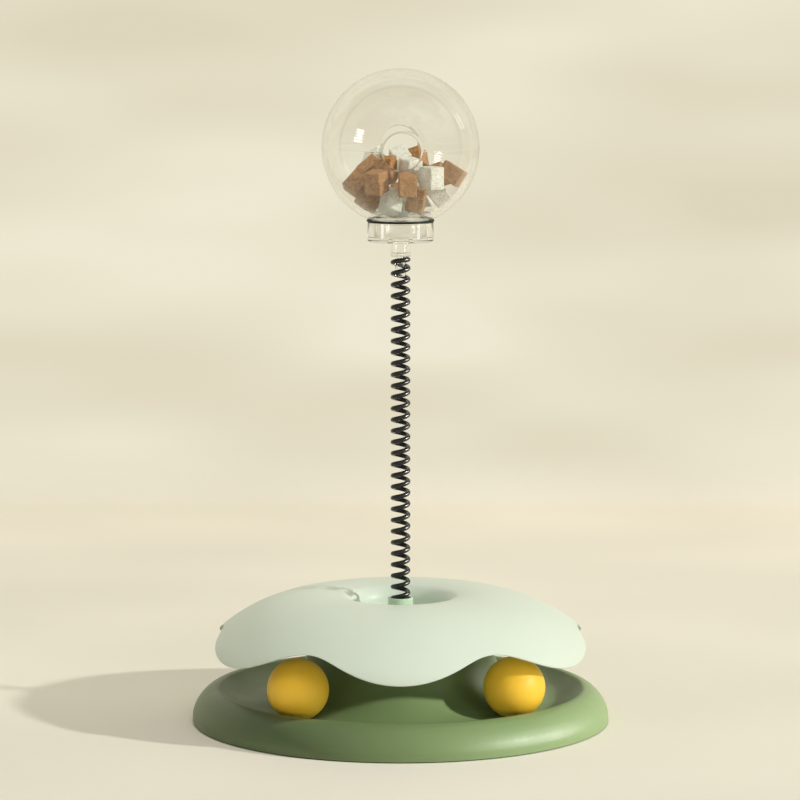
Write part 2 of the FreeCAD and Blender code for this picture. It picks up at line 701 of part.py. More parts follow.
def nodes():
    parts = {
        "base_tray": base_tray(),
        "cover_shell": cover_shell(),
        "cover_screws": cover_screws(),
        "spring_socket": spring_socket(),
        "ball_left": ball(LEFT_BALL_ANGLE),
        "ball_right": ball(RIGHT_BALL_ANGLE),
        "spring": spring(),
        "clear_holder": clear_holder(),
        "seat_ring": seat_ring(),
        "globe_lower": globe_lower(),
        "globe_upper": globe_upper(),
    }
    for i, pad in enumerate(foot_pads()):
        parts["foot_pad_%d" % (i + 1)] = pad
    for i, place in enumerate(BROWN_TREATS):
        parts["brown_treat_%d" % (i + 1)] = treat(*place)
    for i, place in enumerate(WHITE_TREATS):
        parts["white_treat_%d" % (i + 1)] = treat(*place)
    return parts


def main():
    os.makedirs("parts", exist_ok=True)
    for name, shape in nodes().items():
        shape.exportStep("parts/%s.step" % name)
        print(name, "solids", len(shape.Solids), "valid", shape.isValid(), "volume", round(shape.Volume, 1))


if __name__ == "__main__":
    main()
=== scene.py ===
import math

import bmesh
import bpy
from mathutils import Matrix, Vector


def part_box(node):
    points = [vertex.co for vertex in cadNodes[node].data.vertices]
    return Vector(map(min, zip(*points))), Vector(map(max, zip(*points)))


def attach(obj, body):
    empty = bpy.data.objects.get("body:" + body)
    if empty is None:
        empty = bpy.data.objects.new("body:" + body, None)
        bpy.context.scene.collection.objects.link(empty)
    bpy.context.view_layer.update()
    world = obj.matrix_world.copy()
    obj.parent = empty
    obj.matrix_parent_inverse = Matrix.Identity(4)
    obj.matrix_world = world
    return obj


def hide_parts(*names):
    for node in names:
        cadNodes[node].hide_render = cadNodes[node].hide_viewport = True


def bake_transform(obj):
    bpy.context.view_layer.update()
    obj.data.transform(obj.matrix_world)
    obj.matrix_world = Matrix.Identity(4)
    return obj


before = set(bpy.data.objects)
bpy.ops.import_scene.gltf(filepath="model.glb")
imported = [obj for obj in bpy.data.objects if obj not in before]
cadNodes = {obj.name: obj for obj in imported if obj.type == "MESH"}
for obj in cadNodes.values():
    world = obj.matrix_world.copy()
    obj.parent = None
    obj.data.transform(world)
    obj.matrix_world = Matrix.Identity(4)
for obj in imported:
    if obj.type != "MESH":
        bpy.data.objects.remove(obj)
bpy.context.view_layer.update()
scene = bpy.context.scene
mm = 0.001
samePlace = 1e-6    # points nearer than this in metres merge
print("frame loaded,", len(cadNodes), "nodes")


def rgb(red, green, blue):
    # values as read off a screen, made linear for the shaders
    linear = []
    for value in (red / 255.0, green / 255.0, blue / 255.0):
        linear.append(value / 12.92 if value <= 0.04045 else ((value + 0.055) / 1.055) ** 2.4)
    return (*linear, 1.0)


def setInputs(tree, node, inputs):
    # a socket is linked, and anything else becomes the input's own value
    for name, value in inputs.items():
        if isinstance(value, bpy.types.NodeSocket):
            tree.links.new(value, node.inputs[name])
        else:
            node.inputs[name].default_value = value


def addNode(tree, kind, inputs=None, **settings):
    node = tree.nodes.new(kind)
    for name, value in settings.items():
        setattr(node, name, value)
    setInputs(tree, node, inputs or {})
    return node


def calc(tree, operation, *values):
    return addNode(tree, "ShaderNodeMath", dict(enumerate(values)), operation=operation).outputs[0]


def times(tree, first, second):
    return calc(tree, "MULTIPLY", first, second)


def minus(tree, first, second):
    return calc(tree, "SUBTRACT", first, second)


def newObject(name, data):
    piece = bpy.data.objects.new(name, data)
    scene.collection.objects.link(piece)
    return piece


def newMesh(name, verts, faces, edges=()):
    mesh = bpy.data.meshes.new(name)
    mesh.from_pydata(verts, edges, faces)
    return mesh


def smoothMesh(mesh, sharpAngle):
    mesh.shade_smooth()
    mesh.set_sharp_from_angle(angle=math.radians(sharpAngle))


def mergePoints(mesh, turnOut=False):
    # turnOut is for a closed shell, or for several that don't lie inside each other
    shell = bmesh.new()
    shell.from_mesh(mesh)
    bmesh.ops.remove_doubles(shell, verts=shell.verts, dist=samePlace)
    if turnOut:
        bmesh.ops.recalc_face_normals(shell, faces=shell.faces)
    shell.to_mesh(mesh)
    shell.free()


def seat(piece, body, slot, *nodes):
    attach(piece, body)
    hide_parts(*nodes)


def cadCopy(node, name, material, body, slot, sharpAngle=32.0):
    # a merged, smooth-shaded copy that stands for a CAD node
    mesh = cadNodes[node].data.copy()
    mesh.name = name
    mergePoints(mesh)
    if "custom_normal" in mesh.attributes:
        mesh.attributes.remove(mesh.attributes["custom_normal"])
    mesh.materials.clear()
    mesh.materials.append(material)
    smoothMesh(mesh, sharpAngle)
    piece = newObject(name, mesh)
    piece.modifiers.new("weightedNormals", "WEIGHTED_NORMAL").keep_sharp = True
    seat(piece, body, slot, node)
    return piece


def newTree(name, values):
    # a geometry tree with an input for each value, and those inputs as sockets to link from
    kinds = {int: "Int", float: "Float", Vector: "Vector"}
    tree = bpy.data.node_groups.new(name, "GeometryNodeTree")
    tree.interface.new_socket("Geometry", in_out="INPUT", socket_type="NodeSocketGeometry")
    for label, value in values.items():
        kind = "NodeSocket" + kinds.get(type(value), "Material")
        tree.interface.new_socket(label, in_out="INPUT", socket_type=kind)
    tree.interface.new_socket("Geometry", in_out="OUTPUT", socket_type="NodeSocketGeometry")
    return tree, tree.nodes.new("NodeGroupInput").outputs


def runTree(name, startMesh, tree, values):
    # lets the tree work on a start mesh and keeps the result as a plain mesh
    piece = newObject(name, startMesh)
    modifier = piece.modifiers.new(tree.name, "NODES")
    modifier.node_group = tree
    for item in tree.interface.items_tree:
        if item.name in values:
            modifier[item.identifier] = values[item.name]
    graph = bpy.context.evaluated_depsgraph_get()
    result = bpy.data.meshes.new_from_object(piece.evaluated_get(graph))
    piece.modifiers.remove(modifier)
    piece.data = result
    result.name = name
    return piece


def finishTree(tree, geometry, material):
    realized = addNode(tree, "GeometryNodeRealizeInstances", {"Geometry": geometry})
    painted = addNode(tree, "GeometryNodeSetMaterial", {"Geometry": realized.outputs[0], "Material": material})
    addNode(tree, "NodeGroupOutput", {0: painted.outputs[0]})


# Materials

def startMaterial(name):
    material = bpy.data.materials.new(name)
    material.use_nodes = True
    tree = material.node_tree
    shader = tree.nodes["Principled BSDF"]
    place = addNode(tree, "ShaderNodeTexCoord").outputs["Object"]
    return material, tree, shader, place


def noiseAt(tree, place, size, detail=3.0, rough=0.5):
    # size is the width of one patch in metres
    inputs = {"Vector": place, "Scale": 1.0 / size, "Detail": detail, "Roughness": rough}
    return addNode(tree, "ShaderNodeTexNoise", inputs).outputs["Fac"]


def spread(tree, value, low=0.0, high=1.0, fromLow=0.3, fromHigh=0.7):
    # most of a noise lies between 0.3 and 0.7
    inputs = {"Value": value, "From Min": fromLow, "From Max": fromHigh, "To Min": low, "To Max": high}
    return addNode(tree, "ShaderNodeMapRange", inputs).outputs["Result"]


def shaded(colour, factor):
    return (*[min(1.0, channel * factor) for channel in colour[:3]], 1.0)


def mixColours(tree, factor, first, second):
    # inputs 6 and 7 and output 2 are the node's colour sockets
    inputs = {"Factor": factor, 6: first, 7: second}
    return addNode(tree, "ShaderNodeMix", inputs, data_type="RGBA").outputs[2]


def bumpFrom(tree, height, strength, distance):
    inputs = {"Height": height, "Strength": strength, "Distance": distance}
    return addNode(tree, "ShaderNodeBump", inputs).outputs["Normal"]


def raysIn(tree):
    # 1 for a ray straight from the camera, and 1 for a ray by way of a mirror or through clear plastic
    rays = addNode(tree, "ShaderNodeLightPath").outputs
    return rays["Is Camera Ray"], calc(tree, "MAXIMUM", rays["Is Glossy Ray"], rays["Is Transmission Ray"])


# values that the materials of one kind share, unless a look has its own
moulded = {
    "roughSpread": 0.04, "fineClouds": 0.4, "gloss": 0.45, "grainSize": 0.0006, "grainHeight": 0.00003,
    "grainStrength": 0.3, "grainDetail": 2.0, "glow": 0.0, "glowRadius": (1.0, 0.9, 0.7), "glowDepth": 0.002,
}
clear = {
    "ior": 1.49, "shade": (0.97, 0.97, 0.95, 1.0), "smearSize": 0.01, "smearDetail": 4.0, "smearFrom": 0.45,
    "smearTo": 0.75, "rippleDetail": 1.0,
}
dried = {
    "patchDetail": 5.0, "patchRough": 0.6, "patchFrom": 0.35, "patchTo": 0.65, "poreMiddle": 0.1,
    "poreEdge": 0.42, "poreDepth": 0.6, "crumbSize": 0.0011, "crumbDetail": 4.0, "crumbRough": 0.7,
    "crumbHeight": 0.0004, "relief": 0.9, "roughness": 0.92, "gloss": 0.25,
}
wire = {"speckDetail": 4.0, "speckRough": 0.6, "relief": 0.3, "speckHeight": 0.00002}


def mouldedPlastic(name, look):
    look = {**moulded, **look}
    material, tree, shader, place = startMaterial(name)
    clouds = spread(tree, noiseAt(tree, place, look["cloudSize"]))
    tones = [shaded(look["colour"], 1.0 + side * look["tone"]) for side in (-1.0, 1.0)]
    fine = noiseAt(tree, place, look["cloudSize"] * look["fineClouds"])
    roughness = [look["roughness"] + side * look["roughSpread"] for side in (-1.0, 1.0)]
    grain = noiseAt(tree, place, look["grainSize"], look["grainDetail"])
    setInputs(tree, shader, {
        "Base Color": mixColours(tree, clouds, *tones), "Roughness": spread(tree, fine, *roughness),
        "Normal": bumpFrom(tree, grain, look["grainStrength"], look["grainHeight"]),
        "Specular IOR Level": look["gloss"], "Subsurface Weight": look["glow"],
        "Subsurface Radius": look["glowRadius"], "Subsurface Scale": look["glowDepth"]})
    return material


def clearPlastic(name, look):
    look = {**clear, **look}
    material, tree, shader, place = startMaterial(name)
    smears = noiseAt(tree, place, look["smearSize"], look["smearDetail"])
    ripple = noiseAt(tree, place, look["rippleSize"], look["rippleDetail"])
    setInputs(tree, shader, {
        "Base Color": look["colour"], "Transmission Weight": 1.0, "IOR": look["ior"],
        "Roughness": spread(tree, smears, *look["roughness"], look["smearFrom"], look["smearTo"]),
        "Normal": bumpFrom(tree, ripple, look["rippleStrength"], look["rippleHeight"])})
    # lamps shine through it, so that what lies inside is lit
    through = addNode(tree, "ShaderNodeBsdfTransparent", {"Color": look["shade"]}).outputs[0]
    isShadow = addNode(tree, "ShaderNodeLightPath").outputs["Is Shadow Ray"]
    both = addNode(tree, "ShaderNodeMixShader", {0: isShadow, 1: shader.outputs[0], 2: through})
    tree.links.new(both.outputs[0], tree.nodes["Material Output"].inputs["Surface"])
    return material


def driedTreat(name, look):
    look = {**dried, **look}
    material, tree, shader, place = startMaterial(name)
    patches = noiseAt(tree, place, look["patchSize"], look["patchDetail"], look["patchRough"])
    patches = spread(tree, patches, 0.0, 1.0, look["patchFrom"], look["patchTo"])
    flesh = mixColours(tree, patches, look["dark"], look["light"])
    inputs = {"Vector": place, "Scale": 1.0 / look["poreSize"]}
    pores = addNode(tree, "ShaderNodeTexVoronoi", inputs).outputs["Distance"]
    inPore = spread(tree, pores, 1.0, 0.0, look["poreMiddle"], look["poreEdge"])
    crumb = noiseAt(tree, place, look["crumbSize"], look["crumbDetail"], look["crumbRough"])
    height = minus(tree, crumb, times(tree, inPore, look["poreDepth"]))
    # the pits are painted darker in the base colour, a painted shade in the recesses
    setInputs(tree, shader, {
        "Base Color": mixColours(tree, times(tree, inPore, look["paintedPitShadeShare"]), flesh, look["paintedPitShade"]),
        "Normal": bumpFrom(tree, height, look["relief"], look["crumbHeight"]),
        "Roughness": look["roughness"], "Specular IOR Level": look["gloss"]})
    return material


def coatedWire(name, look):
    look = {**wire, **look}
    material, tree, shader, place = startMaterial(name)
    specks = noiseAt(tree, place, look["speckSize"], look["speckDetail"], look["speckRough"])
    setInputs(tree, shader, {
        "Base Color": mixColours(tree, spread(tree, specks), look["colour"], look["worn"]),
        "Roughness": spread(tree, specks, *look["roughness"]), "Metallic": look["metallic"],
        "Normal": bumpFrom(tree, specks, look["relief"], look["speckHeight"])})
    return material


trayPlastic = mouldedPlastic("trayPlastic", {
    "colour": rgb(108, 128, 84), "tone": 0.03, "cloudSize": 0.05, "roughness": 0.43, "gloss": 0.58,
    "grainSize": 0.0007, "grainHeight": 0.00004, "grainStrength": 0.35})
coverPlastic = mouldedPlastic("coverPlastic", {
    "colour": rgb(218, 228, 212), "tone": 0.015, "cloudSize": 0.06, "roughness": 0.42, "glow": 0.08})
socketPlastic = mouldedPlastic("socketPlastic", {
    "colour": rgb(208, 232, 204), "tone": 0.02, "cloudSize": 0.03, "roughness": 0.4})
ballPlastic = mouldedPlastic("ballPlastic", {
    "colour": rgb(254, 203, 60), "tone": 0.02, "cloudSize": 0.02, "roughness": 0.48,
    "grainSize": 0.0009, "grainHeight": 0.00002, "grainStrength": 0.2, "glow": 0.12})
padRubber = mouldedPlastic("padRubber", {
    "colour": rgb(64, 66, 60), "tone": 0.08, "cloudSize": 0.01, "roughness": 0.72, "gloss": 0.3,
    "grainSize": 0.0005, "grainHeight": 0.00006, "grainStrength": 0.5})
# near-black for the thin ring under the globe, painted shade for the shadow gap there
ringGapShade = mouldedPlastic("ringGapShade", {
    "colour": rgb(24, 34, 33), "tone": 0.08, "cloudSize": 0.01, "roughness": 0.5, "gloss": 0.3,
    "grainSize": 0.0004, "grainStrength": 0.4})
clearShell = clearPlastic("clearShell", {
    "colour": (0.985, 0.985, 0.97, 1.0), "smearSize": 0.02, "roughness": (0.0, 0.012),
    "rippleSize": 0.03, "rippleHeight": 0.00006, "rippleStrength": 0.3})
clearHolderPlastic = clearPlastic("clearHolderPlastic", {
    "colour": (0.99, 0.99, 0.98, 1.0), "roughness": (0.0, 0.03),
    "rippleSize": 0.008, "rippleHeight": 0.00005, "rippleStrength": 0.4})
# a darker glass for the rims of the globe's holes, painted shade along the rims
paintedRimShade = clearPlastic("paintedRimShade", {
    "colour": (0.6, 0.6, 0.57, 1.0), "shade": (0.85, 0.85, 0.83, 1.0), "roughness": (0.02, 0.08),
    "rippleSize": 0.01, "rippleHeight": 0.00003, "rippleStrength": 0.2})
# each kind's darkest colour goes into its pits as painted shade
brownTreat = driedTreat("brownTreat", {
    "light": rgb(200, 152, 102), "dark": rgb(166, 122, 82), "paintedPitShade": rgb(104, 74, 50), "patchSize": 0.002,
    "poreSize": 0.0011, "paintedPitShadeShare": 0.65})
whiteTreat = driedTreat("whiteTreat", {
    "light": rgb(249, 247, 236), "dark": rgb(232, 230, 214), "paintedPitShade": rgb(180, 176, 154), "patchSize": 0.004,
    "poreSize": 0.0013, "paintedPitShadeShare": 0.7})
springWire = coatedWire("springWire", {
    "colour": rgb(12, 12, 12), "worn": rgb(24, 23, 22), "speckSize": 0.0012, "roughness": (0.12, 0.18),
    "metallic": 0.0})
screwSteel = coatedWire("screwSteel", {
    "colour": rgb(178, 180, 180), "worn": rgb(150, 152, 152), "speckSize": 0.0008, "roughness": (0.26, 0.4),
    "metallic": 1.0})
print("materials made")


# Base tray and its feet: the CAD shapes with a fine moulded finish

tray = cadCopy("base_tray", "tray", trayPlastic, "base", "tray_plastic")
footCount = 6
for number in range(1, footCount + 1):
    cadCopy("foot_pad_%d" % number, "footPad%d" % number, padRubber, "base", "foot_rubber")
print("tray and feet done")


# Cover

cover = {
    "edgeRadius": 117.5, "wall": 2.4, "edgeRound": 0.9,
    "crownRadius": 48.0, "crownHeight": 77.0, "shoulderCurve": 20.0, "shoulderDrop": 39.0,
    "dimpleCurve": 72.0, "dimpleTurn": 10.0, "dimpleLip": 9.0, "draft": 4.0, "fillet": 5.0, "floor": 53.6,
    "hole": 7.7, "lobes": 6.0, "edgeHeight": 49.2, "swing": 6.7, "flatten": 0.4, "waveTop": 69.0, "steps": 360,
    "postCount": 3, "postCircle": 37.2, "postRadius": 4.0, "postFoot": 50.0, "postTop": 75.0, "postSides": 32,
    "holeFlat": 2.0, "shoulderSteps": 22, "crownSteps": 44, "dimpleSteps": 8, "lipSteps": 14, "filletSteps": 10,
    "edgeSteps": 12, "sharpAngle": 40.0,
}
# the shoulder's arc and the crown's arc meet in one slope
shoulder = cover["edgeRadius"] - cover["shoulderCurve"]
shoulderHeight = cover["crownHeight"] - cover["shoulderDrop"]
shoulderReach = shoulder - cover["crownRadius"]
crownCurve = (shoulderReach ** 2 + cover["shoulderDrop"] ** 2 - cover["shoulderCurve"] ** 2) / (
    2.0 * (cover["shoulderDrop"] - cover["shoulderCurve"]))
crownCentre = cover["crownHeight"] - crownCurve


def arcPoints(centre, radius, first, last, count):
    points = []
    for index in range(count + 1):
        turn = math.radians(first + (last - first) * index / count)
        points.append((centre[0] + radius * math.cos(turn), centre[1] + radius * math.sin(turn)))
    return points


def coverSide(inset, lowest):
    # outline of the outside of the cover, or of its inside one wall in, from the lobe's edge to the hole
    c = cover
    turn = math.degrees(math.acos(shoulderReach / (crownCurve - c["shoulderCurve"])))
    bend = c["shoulderCurve"] - inset
    start = math.degrees(math.asin((lowest - shoulderHeight) / bend))
    points = arcPoints((shoulder, shoulderHeight), bend, start, turn, c["shoulderSteps"])
    points += arcPoints((c["crownRadius"], crownCentre), crownCurve - inset, turn, 90.0, c["crownSteps"])[1:]
    dimpleCentre = (c["crownRadius"], c["crownHeight"] - c["dimpleCurve"])
    leanAngle = 90.0 + c["dimpleTurn"]
    points += arcPoints(dimpleCentre, c["dimpleCurve"] - inset, 90.0, leanAngle, c["dimpleSteps"])[1:]
    lean = math.radians(c["dimpleTurn"])
    reach = c["dimpleCurve"] - c["dimpleLip"]
    lip = (dimpleCentre[0] - math.sin(lean) * reach, dimpleCentre[1] + math.cos(lean) * reach)
    points += arcPoints(lip, c["dimpleLip"] - inset, leanAngle, 180.0 - c["draft"], c["lipSteps"])[1:]
    draft = math.radians(c["draft"])
    fillet = c["fillet"] + inset
    footHeight = c["floor"] + c["wall"] + c["fillet"] - fillet * math.sin(draft)
    top = points[-1]
    foot = (top[0] - (top[1] - footHeight) * math.tan(draft), footHeight)
    filletCentre = (foot[0] - math.cos(draft) * fillet, foot[1] + math.sin(draft) * fillet)
    points += arcPoints(filletCentre, fillet, -c["draft"], -90.0, c["filletSteps"])
    floorHeight = c["floor"] + c["wall"] - inset
    return points + [(c["hole"] + c["holeFlat"], floorHeight), (c["hole"], floorHeight)]


def coverOutline():
    # closed outline at a lobe, with each point's radius, height, depth in the wall and share of the wave
    c = cover
    lobe = c["edgeHeight"] - c["swing"] + c["flatten"]

    def share(radius, height):    # the dimple keeps still
        if radius <= c["crownRadius"]:
            return 0.0
        return min(1.0, max(0.0, (c["waveTop"] - height) / (c["waveTop"] - lobe)))

    outer, inner = [coverSide(inset, lobe + c["edgeRound"]) for inset in (0.0, c["wall"])]
    rows = [(r, z, 0.0, share(r, z)) for r, z in outer]
    rows += [(r, z, c["wall"], share(r, z)) for r, z in reversed(inner)]
    edge = []
    flat = c["wall"] - 2.0 * c["edgeRound"]
    for index in range(1, c["edgeSteps"]):
        turn = math.pi * index / c["edgeSteps"]
        side = math.cos(turn) * c["edgeRound"] - math.copysign(flat / 2.0, -math.cos(turn))
        depth = c["wall"] / 2.0 + side
        edge.append((0.0, lobe + c["edgeRound"] * (1.0 - math.sin(turn)), depth, 1.0))
    rows += sorted(edge, key=lambda row: -row[2])
    mesh = newMesh("coverOutline", [(row[0] * mm, 0.0, row[1] * mm) for row in rows], [],
                   [(index, (index + 1) % len(rows)) for index in range(len(rows))])
    for column, (label, scale) in enumerate((("reach", mm), ("level", mm), ("depth", mm), ("share", 1.0))):
        layer = mesh.attributes.new(label, "FLOAT", "POINT")
        layer.data.foreach_set("value", [row[column] * scale for row in rows])
    return mesh


def attribute(tree, label):
    return addNode(tree, "GeometryNodeInputNamedAttribute", {"Name": label}, data_type="FLOAT").outputs[0]


def coverTree(values):
    tree, given = newTree("wavyCover", values)
    outline = addNode(tree, "GeometryNodeMeshToCurve", {"Mesh": given["Geometry"]}).outputs[0]
    # only the ring's count of points matters, since each point is placed below
    ring = addNode(tree, "GeometryNodeCurvePrimitiveCircle", {"Resolution": given["Steps"], "Radius": 0.1})
    place = tree.nodes.new("GeometryNodeInputIndex").outputs[0]
    share = calc(tree, "DIVIDE", times(tree, place, math.tau), given["Steps"])
    stored = addNode(tree, "GeometryNodeStoreNamedAttribute", {
        "Geometry": ring.outputs[0], "Name": "turn", "Value": share}, data_type="FLOAT", domain="POINT")
    swept = addNode(tree, "GeometryNodeCurveToMesh", {"Curve": stored.outputs[0], "Profile Curve": outline})
    turn, depth, part = [attribute(tree, label) for label in ("turn", "depth", "share")]
    phase = times(tree, turn, given["Lobes"])
    # how far the edge stands above a lobe's lowest point
    swing = times(tree, given["Swing"], minus(tree, 1.0, calc(tree, "COSINE", phase)))
    second = calc(tree, "COSINE", times(tree, phase, 2.0))
    flat = times(tree, given["Flatten"], minus(tree, second, 1.0))
    lift = times(tree, calc(tree, "ADD", swing, flat), part)
    height = calc(tree, "ADD", attribute(tree, "level"), lift)
    # radius on the shoulder's arc and on the crown's arc, at that height and depth
    shoulderBend = minus(tree, given["Shoulder Curve"], depth)
    above = minus(tree, height, given["Shoulder Height"])
    onShoulder = calc(tree, "ADD", given["Shoulder Radius"], legOf(tree, shoulderBend, above))
    crownBend = minus(tree, given["Crown Curve"], depth)
    rise = minus(tree, height, given["Crown Centre"])
    onCrown = calc(tree, "ADD", given["Crown Radius"], legOf(tree, crownBend, rise))
    across = minus(tree, given["Shoulder Radius"], given["Crown Radius"])
    apart = minus(tree, given["Crown Curve"], given["Shoulder Curve"])
    sine = calc(tree, "DIVIDE", legOf(tree, apart, across), apart)
    isLow = calc(tree, "LESS_THAN", above, times(tree, shoulderBend, sine))
    onSkirt = choose(tree, isLow, onShoulder, onCrown)
    radius = choose(tree, calc(tree, "GREATER_THAN", part, 0.0), onSkirt, attribute(tree, "reach"))
    x = times(tree, radius, calc(tree, "SINE", turn))
    y = times(tree, radius, times(tree, calc(tree, "COSINE", turn), -1.0))
    spot = addNode(tree, "ShaderNodeCombineXYZ", {"X": x, "Y": y, "Z": height}).outputs[0]
    skirt = addNode(tree, "GeometryNodeSetPosition", {"Geometry": swept.outputs[0], "Position": spot})
    # posts that the screws from below go into
    post = addNode(tree, "GeometryNodeMeshCylinder", {
        "Vertices": given["Post Sides"], "Radius": given["Post Radius"], "Depth": given["Post Height"]})
    centre = calc(tree, "ADD", given["Post Foot"], times(tree, given["Post Height"], 0.5))
    posts = roundAbout(tree, post.outputs[0], given["Posts"], given["Post Circle"], centre)
    joined = addNode(tree, "GeometryNodeJoinGeometry", {0: posts})
    tree.links.new(skirt.outputs[0], joined.inputs[0])
    finishTree(tree, joined.outputs[0], given["Material"])
    return tree


def roundAbout(tree, geometry, count, circle, height):
    # copies of a shape, evenly round Z at one height
    spots = addNode(tree, "GeometryNodeMeshCircle", {"Vertices": count, "Radius": circle}).outputs[0]
    inputs = {"Points": spots, "Instance": geometry}
    stood = addNode(tree, "GeometryNodeInstanceOnPoints", inputs).outputs[0]
    up = addNode(tree, "ShaderNodeCombineXYZ", {"Z": height}).outputs[0]
    return addNode(tree, "GeometryNodeTransform", {"Geometry": stood, "Translation": up}).outputs[0]


def legOf(tree, longSide, side):
    # the other short side of a right-angled triangle
    squares = minus(tree, calc(tree, "POWER", longSide, 2.0), times(tree, side, side))
    return calc(tree, "SQRT", calc(tree, "MAXIMUM", squares, 0.0))


def choose(tree, test, whenTrue, whenFalse):
    share = times(tree, test, whenTrue)
    rest = times(tree, minus(tree, 1.0, test), whenFalse)
    return calc(tree, "ADD", share, rest)


coverValues = {
    "Steps": cover["steps"], "Lobes": cover["lobes"], "Swing": cover["swing"] * mm,
    "Flatten": cover["flatten"] * mm, "Shoulder Radius": shoulder * mm,
    "Shoulder Height": shoulderHeight * mm, "Shoulder Curve": cover["shoulderCurve"] * mm,
    "Crown Radius": cover["crownRadius"] * mm, "Crown Centre": crownCentre * mm,
    "Crown Curve": crownCurve * mm, "Posts": cover["postCount"], "Post Circle": cover["postCircle"] * mm,
    "Post Radius": cover["postRadius"] * mm, "Post Foot": cover["postFoot"] * mm,
    "Post Height": (cover["postTop"] - cover["postFoot"]) * mm, "Post Sides": cover["postSides"],
    "Material": coverPlastic,
}
coverPiece = runTree("cover", coverOutline(), coverTree(coverValues), coverValues)
mergePoints(coverPiece.data, turnOut=True)
smoothMesh(coverPiece.data, cover["sharpAngle"])
seat(coverPiece, "base", "cover_plastic", "cover_shell")
print("cover done,", len(coverPiece.data.polygons), "faces")


# Socket in the dimple

cadCopy("spring_socket", "springSocket", socketPlastic, "base", "socket_plastic")


# Screws that hold the cover from below

screw = {
    "count": 3, "circle": 37.2, "headTop": 47.5, "headRadius": 3.0, "headHeight": 2.2, "headRound": 0.9,
    "length": 12.0, "coreRadius": 1.15, "threadRadius": 1.5, "pitch": 1.0, "tip": 2.0, "tipRadius": 0.05,
    "recessDepth": 1.2, "recessReach": 1.7, "recessArm": 0.42, "recessSlope": 0.4, "middleRadius": 0.02,
    "sides": 48, "headSteps": 8, "threadSteps": 150, "sharpAngle": 40.0,
}


def joinRings(rings):
    # faces from each ring of corners to the next; a ring that repeats one corner is a pole
    faces = []
    for first, second in zip(rings, rings[1:]):
        for side in range(len(first)):
            after = (side + 1) % len(first)
            corners = dict.fromkeys((first[side], first[after], second[after], second[side]))
            if len(corners) > 2:
                faces.append(tuple(corners))
    return faces


def screwMesh():
    s = screw
    sides, steps = s["sides"], s["headSteps"]
    flat, small = s["headRadius"] - s["headRound"], s["headRound"]
    rings = []
    for index in range(steps + 1):    # recess and face of the head, seen from below
        rings.append((flat * index / steps + s["middleRadius"], -s["headHeight"], True))
    for index in range(1, steps + 1):    # rounded side of the head
        turn = math.radians(90.0 * index / steps)
        rings.append((flat + small * math.sin(turn), -s["headHeight"] + small * (1.0 - math.cos(turn)), False))
    rings.append((s["headRadius"], 0.0, False))
    for index in range(s["threadSteps"] + 1):
        rings.append((None, s["length"] * index / s["threadSteps"], False))
    verts = []
    for radius, height, hasRecess in rings:
        for side in range(sides):
            turn = math.tau * side / sides
            r, z = radius, height
            if radius is None:    # the ridge of the thread is half a pitch wide
                taper = min(1.0, (s["length"] - height) / s["tip"])
                phase = (height / s["pitch"] - side / sides) % 1.0
                ridge = max(0.0, 1.0 - abs(phase - 0.5) * 4.0)
                full = s["coreRadius"] - s["tipRadius"] + (s["threadRadius"] - s["coreRadius"]) * ridge
                r = s["tipRadius"] + full * taper
            if hasRecess:
                x, y = abs(r * math.cos(turn)), abs(r * math.sin(turn))
                if min(x, y) < s["recessArm"] and max(x, y) < s["recessReach"]:
                    z += s["recessDepth"] * (1.0 - s["recessSlope"] * max(x, y) / s["recessReach"])
            verts.append((r * math.cos(turn) * mm, r * math.sin(turn) * mm, z * mm))
    corners = [list(range(first, first + sides)) for first in range(0, len(verts), sides)]
    faces = joinRings(corners) + [tuple(corners[0]), tuple(corners[-1])]
    mesh = newMesh("screwShape", verts, faces)
    mergePoints(mesh, turnOut=True)
    return mesh


def screwTree(values):
    tree, given = newTree("coverScrews", values)
    placed = roundAbout(tree, given["Geometry"], given["Count"], given["Circle"], given["Height"])
    finishTree(tree, placed, given["Material"])
    return tree


screwValues = {
    "Count": screw["count"], "Circle": screw["circle"] * mm, "Height": screw["headTop"] * mm,
    "Material": screwSteel,
}
screws = runTree("coverScrews", screwMesh(), screwTree(screwValues), screwValues)
smoothMesh(screws.data, screw["sharpAngle"])
seat(screws, "base", "screw_steel", "cover_screws")
print("socket and screws done")


# Balls, each two welded halves with a fine line where they meet

ball = {
    "radius": 18.25, "lineDepth": 0.06, "lineWidth": 0.22, "rings": 96, "sides": 160,
    "axes": {"left": (0.5, 0.2, 0.84), "right": (-0.3, 0.35, 0.89)},    # through the poles of the two halves
}


def lathe(outline, angles):
    # turns a closed outline of (radius, height) points in mm about Z; a point on the axis becomes a pole
    verts, rings = [], []
    for radius, height in outline:
        if radius == 0.0:
            rings.append([len(verts)] * len(angles))
            verts.append((0.0, 0.0, height * mm))
            continue
        rings.append(list(range(len(verts), len(verts) + len(angles))))
        verts += [(radius * mm * math.cos(turn), radius * mm * math.sin(turn), height * mm) for turn in angles]
    return verts, joinRings(rings + rings[:1])


def evenAngles(count):
    return [math.tau * index / count for index in range(count)]


def lineProfile(half):
    # places across a fine line, whose depth falls to nothing at half to either side
    return [-half, -half / 3.0, 0.0, half / 3.0, half]


